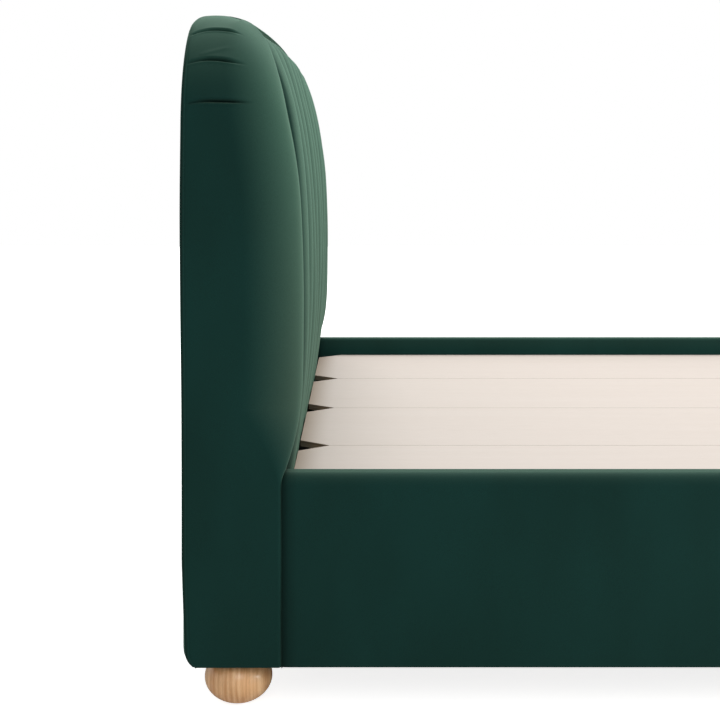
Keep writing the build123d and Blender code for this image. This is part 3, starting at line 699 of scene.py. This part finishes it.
# The channel is blown up once and its shape goes to all eight, mirrored on every other one
flute_tuck = 0.012
under_border_run = 0.014
under_border_drop = 0.004
pucker_height = 0.0007
pucker_waves = (260, 97)
pucker_shift = 3.1
pucker_narrow = 9
pucker_clear = 0.06
swell_height = 0.0008
swell_wave = 11
swell_shift = 2.3
# Painted shade: darker and with less sheen in the flute valleys, along the seams, on the outer flank of the
# two end flutes, and under the border
valley_shade = 0.7
valley_shade_depth = 0.012
seam_line_shade = 0.75
line_half = 0.12
outer_flank_shade = 0.6
outer_shade_width = 0.25
outer_shade_widens = 0.3
outer_shade_reach = 0.22
# Painted light: a paler tone over the whole face of every flute
flute_painted_light = 0.75
stuffing = stuffed(flat_run)
end_along = np.array([tangent[-1, 0], 0, tangent[-1, 1]])
end_out = np.array([out_x[-1, 0], 0, out_z[-1, 0]])
under_border = under_border_run * end_along - under_border_drop * end_out
tuck = -flute_tuck * np.stack([out_x[:, 0], 0 * flute_z, out_z[:, 0]], 1)[:, None]
from_line = 1 - np.abs(across)
by_line = np.exp(-from_line * pucker_narrow) * smooth(0, pucker_clear, from_line)
# Painted shade in the valleys and along the seams of every flute
flute_valley_shade = valley_shade * (1 - np.exp(-sunk / valley_shade_depth)) + seam_line_shade * bell(from_line, line_half)
outer_half = outer_shade_width + outer_shade_widens * smooth(0, outer_shade_reach, bulge_z - flute_z)[:, None]
for index in range(flute_count):
    middle = -seam_y + (index + 0.5) * flute_width
    pucker = np.sin(flute_run[:, None] * pucker_waves[0] + pucker_shift * index)
    pucker = pucker_height * pucker * np.sin(flute_run[:, None] * pucker_waves[1] + index)
    swell = swell_height * np.sin(flute_run[:, None] * swell_wave + swell_shift * index + across)
    level = pucker * by_line + swell * crown
    blown_up = stuffing if index % 2 else stuffing[:, ::-1] * np.array([1, -1, 1])
    face = flat_run + blown_up + np.stack([level * out_x, middle + 0 * level, level * out_z], 2)
    face = np.concatenate([face[:, :1] + tuck, face, face[:, -1:] + tuck], 1)
    face = fuller_middle(np.concatenate([face, face[-1:] + under_border], 0))
    outer = {0: across < 0, flute_count - 1: across > 0}.get(index, 0 * across)
    below = flute_valley_shade + outer_flank_shade * outer * bell(from_line, outer_half)
    below = np.concatenate([below[:, :1], below, below[:, -1:]], 1)
    # Painted shade on the row tucked under the border
    below = np.concatenate([below, np.ones_like(below[-1:])], 0)
    name = f"headboard_flute_{index + 1}"
    flute = give_wall(grid_piece(name, face, below, 0 * below + flute_painted_light), pad_wall)
    dress(flute, "bed_frame", "green_velvet", velvet, f"flute_{index + 1}", fill=pad_fill)

# Headboard back
# A flat panel of the same velvet closes the back. It is pulled over the ply, a little fuller in
# its middle, its edge lies against the border's welt, and its bottom edge is turned under.
panel_inset = 0.012
panel_swell = 0.0022
panel_half = half_width - panel_inset
panel_radius = corner_radius - panel_inset
panel_top = top_z - panel_inset
panel_low = base_z - 0.0006
panel_turn_under = 0.012
panel_round = 0.012
panel_edge_band = 0.01
panel_columns = 81
panel_rows = 91
panel_edge_share = 0.12
panel_behind = 0.001
panel_ripple = 0.0004
panel_ripple_waves = (17, 13, 2)
panel_wall = 0.003
panel_fill = 0.3
across_share = np.sin(np.linspace(-math.pi / 2, math.pi / 2, panel_columns))
up_share = (1 - np.cos(np.linspace(0, math.pi, panel_rows))) / 2
panel_z = panel_low + (panel_top - panel_low) * up_share
over = np.maximum(panel_z - (panel_top - panel_radius), 0)
reach = panel_half - panel_radius + np.sqrt(np.maximum(panel_radius**2 - over**2, 0))
panel_y = reach[:, None] * across_share[None, :]
edge_y = 1 - np.abs(across_share[None, :])
edge_z = np.minimum(up_share, 1 - up_share)[:, None] * 2
full = smooth(0, panel_edge_share, edge_y) * smooth(0, panel_edge_share, edge_z)
from_side = reach[:, None] - np.abs(panel_y)
low_down = np.clip(1 - (panel_z - base_z) / foot_round_rise, 0, 1)[:, None] ** foot_round_power
at_side = 1 - smooth(0, panel_edge_band, from_side)
panel_set = panel_round * low_down * (1 - at_side) + foot_rounding(panel_z)[:, None] * at_side
panel_set = panel_set - back_swell(panel_z)[:, None]
ripple = np.sin(panel_y * panel_ripple_waves[0])
ripple = ripple * np.sin(panel_z[:, None] * panel_ripple_waves[1] + panel_ripple_waves[2] * panel_y)
panel_x = back_x + panel_set + panel_behind + (panel_ripple * ripple - panel_swell) * full
panel = np.stack([panel_x, panel_y, panel_z[:, None] + 0 * panel_y], 2)
panel = np.concatenate([panel[:1] + np.array([panel_turn_under, 0, 0]), panel], 0)
back = give_wall(grid_piece("headboard_back", panel, turned=True), panel_wall)
dress(back, "bed_frame", "green_velvet", velvet, "back_cover", fill=panel_fill)

# Rails
# Timber rails wrapped in thin foam and velvet, rounded over the top edge and turned under the
# bottom, where the cloth is stapled. The side rails butt against the headboard.
rail_outer_round = 0.02
rail_inner_round = 0.006
rail_crown = 0.0016
rail_under_round = 0.003
rail_end_round = 0.012
rail_end_pull = 0.0075
rail_turn_under = 0.01
rail_swell = 0.0012
rail_arc_steps = 9
rail_face_steps = 14
rail_top_steps = 5
rail_row_count = 150
rail_end_rows = 7
rail_end_sections = np.array([0.9, 0.5, 0.02])
rail_wave_height = 0.0007
rail_waves = (7.3, 2.9)
rail_wave_rise = 9
rail_wave_shift = 1.3
rail_low_share = 0.1
# Painted shade at the joint with the headboard, and painted light over the rail's rounded top edge
joint_shade = 0.8
joint_shade_half = 0.016
rail_top_painted_light = 0.2
rail_wall = 0.003
rail_fill = 0.9
rail_overlap = 0.0015
side_low, side_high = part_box("side_rail_cover_right")
foot_low, foot_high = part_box("foot_rail_cover")
rail_thickness = foot_high.x - foot_low.x


def rail_section(thickness, low, high):
    """Cross-section from the turned-under edge up one face, over the top and down the other."""
    quarter = math.pi / 2
    inner_y = thickness - rail_inner_round
    under_y = thickness - rail_under_round
    corners = [
        (rail_under_round, low + rail_under_round, rail_under_round, 3 * quarter, 2 * quarter),
        (rail_outer_round, high - rail_outer_round, rail_outer_round, 2 * quarter, quarter),
        (inner_y, high - rail_inner_round, rail_inner_round, quarter, 0),
        (under_y, low + rail_under_round, rail_under_round, 0, -quarter),
    ]
    steps_before = (0, rail_face_steps, rail_top_steps, rail_face_steps)
    runs = [np.array([[rail_under_round + rail_turn_under, low]])]
    for (y, z, radius, start, stop), steps in zip(corners, steps_before):
        turn_round = np.linspace(start, stop, rail_arc_steps)
        arc_points = np.stack([y + radius * np.cos(turn_round), z + radius * np.sin(turn_round)], 1)
        last = runs[-1][-1]
        runs.append(last + (arc_points[0] - last) * np.linspace(0, 1, steps)[1:-1, None])
        runs.append(arc_points)
    runs.append(np.array([[thickness - rail_under_round - rail_turn_under, low]]))
    return np.concatenate(runs)


def rail(start, stop, thickness, low, high):
    """Section carried along the rail, drawn in over the last stretch of each end by a quarter circle.

    Each end is closed by three more sections whose thickness shrinks to the middle line.
    """
    section = rail_section(thickness, low, high)
    ends = rail_end_round * (1 - np.cos(np.linspace(0, math.pi / 2, rail_end_rows)))
    between = np.linspace(start, stop, rail_row_count)[1:-1]
    along = np.concatenate([start + ends, between, stop - ends[::-1]])
    from_edge = np.minimum(along - start, stop - along)
    inside = np.clip(1 - from_edge / rail_end_round, 0, 1)
    pull = rail_end_pull * (1 - np.sqrt(np.maximum(1 - inside**2, 0)))
    tangent = np.gradient(section, axis=0)
    outward = np.stack([-tangent[:, 1], tangent[:, 0]], 1)
    outward /= np.linalg.norm(outward, axis=1, keepdims=True)
    height_share = (section[:, 1] - low) / (high - low)
    face_share = np.sin(math.pi * np.clip(height_share, 0, 1))
    wave = np.sin(along[:, None] * rail_waves[0] + section[None, :, 1] * rail_wave_rise + start)
    wave = rail_wave_height * wave * np.sin(along[:, None] * rail_waves[1] + rail_wave_shift)
    crowned = rail_crown * smooth(1 - rail_outer_round / (high - low), 1, height_share)
    level = (rail_swell + wave) * face_share - pull[:, None] + crowned
    sideways = np.stack([np.ones_like(height_share), smooth(0, rail_low_share, height_share)], 1)
    spot = section[None] + level[:, :, None] * outward[None] * sideways[None]
    shrink = rail_end_sections[:, None]
    caps = np.stack([np.repeat(spot[:1], len(shrink), 0), np.repeat(spot[-1:], len(shrink), 0)])
    caps[..., 0] = thickness / 2 + (caps[..., 0] - thickness / 2) * shrink
    spot = np.concatenate([caps[0, ::-1], spot, caps[1]])
    along = np.concatenate([np.full(len(shrink), start), along, np.full(len(shrink), stop)])
    return along, spot


def rail_piece(name, run, outer, inward, heights, lengthwise):
    """Rail as a walled sheet that faces outwards, with painted shade where it meets the headboard and painted
    light over its top edge.
    """
    start, stop = run
    low, high = heights
    along, spot = rail(start, stop, rail_thickness, low, high)
    u = outer + inward * spot[:, :, 0]
    v = spot[:, :, 1]
    s = along[:, None] + 0 * u
    points = np.stack([s, u, v], 2) if lengthwise else np.stack([u, s, v], 2)
    turned = (inward > 0) == lengthwise
    crease_shading = joint_shade * bell(s - start, joint_shade_half) if lengthwise else 0 * u
    top_painted_light = rail_top_painted_light * smooth(high - rail_outer_round, high, v)
    return give_wall(grid_piece(name, points, crease_shading, top_painted_light, turned=turned), rail_wall)


side_start = side_low.x - rail_overlap
side_run = (side_start, side_high.x)
side_heights = (side_low.z, side_high.z)
foot_heights = (foot_low.z, foot_high.z)
for side, outer, inward in (("right", -half_width, 1), ("left", half_width, -1)):
    side_rail = rail_piece(f"side_rail_{side}", side_run, outer, inward, side_heights, lengthwise=True)
    dress(side_rail, "bed_frame", "green_velvet", velvet, f"side_rail_cover_{side}", fill=rail_fill)
foot_run = (-half_width, half_width)
foot_rail = rail_piece("foot_rail", foot_run, foot_high.x, -1, foot_heights, lengthwise=False)
dress(foot_rail, "bed_frame", "green_velvet", velvet, "foot_rail_cover", fill=rail_fill)

# Deck boards
# Four long boards of pale birch ply lie loose on the bearers. Their faces are sanded and bare,
# the cut edges show the plies, and a painted shade darkens and browns the head ends under the headboard.
streak_detail = 4.0
streak_levels = (0.32, 0.68)
pore_finer = 6
pore_scale = 2.5
pore_levels = (0.3, 0.55)
pore_bump = (0.15, 0.0004)
ply_stretch = (3, 3, 380)
ply_levels = (0.35, 0.65)
ply_shades = ((0.2, 0.15, 0.11), (0.36, 0.28, 0.21))
# Painted shade: darker and browner over the last few centimetres of the boards at the head end
head_end_shade = (0.36, 0.275, 0.2)
head_shade_before = 0.02
head_shade_after = 0.058


def cover_nodes(material, *names):
    """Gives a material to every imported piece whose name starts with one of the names."""
    for name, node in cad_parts.items():
        if name.startswith(names):
            node.data.materials.clear()
            node.data.materials.append(material)


def timber_material(name, dark, light, along, roughness, ring_scale, pore_depth=0.18):
    """Sawn wood: long streaks and fine pores stretched along the grain."""
    material, nodes, links, shader = new_material(name)
    pore_along = tuple(pore_finer * scale for scale in along)
    streaks = noise(nodes, links, stretched(nodes, links, along), ring_scale, streak_detail)
    pores = noise(nodes, links, stretched(nodes, links, pore_along), ring_scale * pore_scale)
    tone = mix_shades(nodes, links, levels(nodes, links, streaks, *streak_levels), dark, light)
    pores_dark = levels(nodes, links, pores, *pore_levels)
    tone = mix_shades(nodes, links, pore_depth, tone, pores_dark, "MULTIPLY")
    links.new(tone, shader.inputs["Base Color"])
    shader.inputs["Roughness"].default_value = roughness
    bump(nodes, links, shader, pores, *pore_bump)
    return material


birch = timber_material(
    "pale_birch_ply",
    dark=(0.635, 0.56, 0.502),
    light=(0.647, 0.574, 0.518),
    along=(0.35, 6, 6),
    roughness=0.6,
    ring_scale=5.0,
    pore_depth=0.05,
)
nodes, links = birch.node_tree.nodes, birch.node_tree.links
birch_color = nodes["Principled BSDF"].inputs["Base Color"]
face_tone = birch_color.links[0].from_socket
place = nodes.new("ShaderNodeTexCoord")
normal_parts = nodes.new("ShaderNodeSeparateXYZ")
links.new(place.outputs["Normal"], normal_parts.inputs["Vector"])
place_parts = nodes.new("ShaderNodeSeparateXYZ")
links.new(place.outputs["Object"], place_parts.inputs["Vector"])
flat_face = nodes.new("ShaderNodeMath")
flat_face.operation = "ABSOLUTE"
links.new(normal_parts.outputs["Z"], flat_face.inputs[0])
plies = noise(nodes, links, stretched(nodes, links, ply_stretch), scale=1.0, detail=1.0)
edge_tone = mix_shades(nodes, links, levels(nodes, links, plies, *ply_levels), *ply_shades)
# Painted shade towards the head end of the boards
head_end = nodes.new("ShaderNodeMapRange")
head_end.interpolation_type = "SMOOTHSTEP"
head_end.inputs["From Min"].default_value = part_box("deck_board_1")[0].x - head_shade_before
head_end.inputs["From Max"].default_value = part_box("deck_board_1")[0].x + head_shade_after
links.new(place_parts.outputs["X"], head_end.inputs["Value"])
head_shaded = mix_shades(nodes, links, head_end.outputs["Result"], head_end_shade, face_tone)
links.new(mix_shades(nodes, links, flat_face.outputs["Value"], edge_tone, head_shaded), birch_color)
cover_nodes(birch, "deck_board")

# Feet
# Turned hardwood buns with upright grain, sanded and lacquered to a satin gloss, each on a small
# felt disc.
bun_wood = timber_material(
    "lacquered_bun",
    dark=(0.72, 0.35, 0.14),
    light=(0.99, 0.63, 0.335),
    along=(26, 4, 1.0),
    roughness=0.24,
    ring_scale=8.0,
)
cover_nodes(bun_wood, "bun_foot")
mottle_bump = (0.1, 0.0003)


def plain_material(name, color, roughness, metallic, texture_scale, spread):
    """Even finish with a slight mottling and grain."""
    material, nodes, links, shader = new_material(name)
    mottle = noise(nodes, links, stretched(nodes, links, (1, 1, 1)), texture_scale)
    dark = tuple(c * (1 - spread) for c in color)
    light = tuple(min(c * (1 + spread), 1) for c in color)
    links.new(mix_shades(nodes, links, mottle, dark, light), shader.inputs["Base Color"])
    shader.inputs["Roughness"].default_value = roughness
    shader.inputs["Metallic"].default_value = metallic
    bump(nodes, links, shader, mottle, *mottle_bump)
    return material


felt = plain_material(
    "grey_wool_felt", color=(0.16, 0.14, 0.12), roughness=0.95, metallic=0, texture_scale=900, spread=0.3
)
cover_nodes(felt, "felt_pads")

# Timber frame
# Planed softwood carries the bed: the posts and rails of the headboard, the rails' cores, the
# ledgers, bearers and centre beam. The headboard's ribs, skin and panels are raw sheet.
pine = timber_material(
    "planed_pine",
    dark=(0.5, 0.33, 0.17),
    light=(0.68, 0.5, 0.29),
    along=(1, 8, 8),
    roughness=0.6,
    ring_scale=6.0,
)
cover_nodes(pine, "upright", "corner_former", "bottom_rail", "middle_rail", "top_rail", "corner_blocks")
cover_nodes(pine, "side_rail_core", "foot_rail_core", "ledger", "foot_ledger", "bearer", "centre_beam")
raw_ply = timber_material(
    "raw_ply",
    dark=(0.42, 0.29, 0.17),
    light=(0.58, 0.43, 0.27),
    along=(4, 4, 1),
    roughness=0.7,
    ring_scale=6.0,
)
cover_nodes(raw_ply, "front_skin", "rib_", "back_panel", "base_board")

# Metal and plastic
# Brackets, hangers and centre legs are powder coated black, their fixings are zinc plated, and
# the levelling glides are moulded nylon.
powder_coat = plain_material(
    "black_powder_coat", color=(0.02, 0.02, 0.021), roughness=0.45, metallic=0, texture_scale=700, spread=0.15
)
cover_nodes(powder_coat, "steel_brackets", "centre_leg")
zinc = plain_material(
    "zinc_plate", color=(0.62, 0.62, 0.6), roughness=0.35, metallic=1, texture_scale=300, spread=0.08
)
cover_nodes(zinc, "bracket_bolts", "wood_screws", "hanger_bolts")
nylon = plain_material(
    "black_nylon", color=(0.02, 0.02, 0.02), roughness=0.5, metallic=0, texture_scale=500, spread=0.15
)
cover_nodes(nylon, "leg_glide")

# Floor and light
# A plain white floor under a white surround, a broad lamp above the head end, one beyond the
# foot end and a weak one beside the camera.
floor_half = 9.0
floor_corners = ((-1, -1), (1, -1), (1, 1), (-1, 1))
floor_shade = (0.8, 0.8, 0.8, 1)
floor_roughness = 0.9
white = (1, 1, 1, 1)
floor_near = 1.0
floor_far = 3.2
floor_near_glow = 0.82
floor_far_glow = 1.2
world_light = 0.42
world_seen = 1.0
floor_mesh = bpy.data.meshes.new("studio_floor")
floor_points = [(floor_half * x, floor_half * y, 0) for x, y in floor_corners]
floor_mesh.from_pydata(floor_points, [], [(0, 1, 2, 3)])
floor = bpy.data.objects.new("studio_floor", floor_mesh)
bpy.context.scene.collection.objects.link(floor)
floor_material, nodes, links, shader = new_material("white_floor")
shader.inputs["Base Color"].default_value = floor_shade
shader.inputs["Roughness"].default_value = floor_roughness
shader.inputs["Emission Color"].default_value = white
rays = nodes.new("ShaderNodeLightPath")
seen = nodes.new("ShaderNodeMath")
seen.operation = "MULTIPLY"
place = nodes.new("ShaderNodeTexCoord")
distance = nodes.new("ShaderNodeVectorMath")
distance.operation = "LENGTH"
links.new(place.outputs["Object"], distance.inputs[0])
glow = nodes.new("ShaderNodeMapRange")
glow.interpolation_type = "SMOOTHSTEP"
glow.inputs["From Min"].default_value = floor_near
glow.inputs["From Max"].default_value = floor_far
glow.inputs["To Min"].default_value = floor_near_glow
glow.inputs["To Max"].default_value = floor_far_glow
links.new(distance.outputs["Value"], glow.inputs["Value"])
links.new(glow.outputs["Result"], seen.inputs[1])
links.new(rays.outputs["Is Camera Ray"], seen.inputs[0])
links.new(seen.outputs["Value"], shader.inputs["Emission Strength"])
floor_mesh.materials.append(floor_material)

world = bpy.data.worlds.new("white_studio")
bpy.context.scene.world = world
world.use_nodes = True
nodes, links = world.node_tree.nodes, world.node_tree.links
background = nodes["Background"]
background.inputs["Color"].default_value = white
rays = nodes.new("ShaderNodeLightPath")
any_view = nodes.new("ShaderNodeMath")
any_view.operation = "MAXIMUM"
clear_view = nodes.new("ShaderNodeMath")
clear_view.operation = "MAXIMUM"
strength = nodes.new("ShaderNodeMapRange")
strength.inputs["To Min"].default_value = world_light
strength.inputs["To Max"].default_value = world_seen
links.new(rays.outputs["Is Camera Ray"], any_view.inputs[0])
links.new(rays.outputs["Is Glossy Ray"], any_view.inputs[1])
links.new(any_view.outputs["Value"], clear_view.inputs[0])
links.new(rays.outputs["Is Transmission Ray"], clear_view.inputs[1])
links.new(clear_view.outputs["Value"], strength.inputs["Value"])
links.new(strength.outputs["Result"], background.inputs["Strength"])


def softbox(name, place, target, size, power):
    """Square area lamp turned towards a point by the two angles of its line of sight."""
    data = bpy.data.lights.new(name, "AREA")
    data.size = size
    data.energy = power
    lamp = bpy.data.objects.new(name, data)
    lamp.location = place
    aim = np.array(target) - np.array(place)
    flat = math.hypot(aim[0], aim[1])
    lamp.rotation_euler = (math.atan2(flat, -aim[2]), 0, math.atan2(aim[1], aim[0]) - math.pi / 2)
    bpy.context.scene.collection.objects.link(lamp)


softbox("top_softbox", place=(-0.45, 1.2, 3.3), target=(-0.5, 0, 0.4), size=2.6, power=84)
softbox("foot_softbox", place=(3.2, -1.6, 1.7), target=(-0.9, -0.3, 0.8), size=1.6, power=96)
softbox("camera_fill", place=(-0.7, -3.6, 2.0), target=(-0.8, 0, 0.4), size=1.2, power=17)
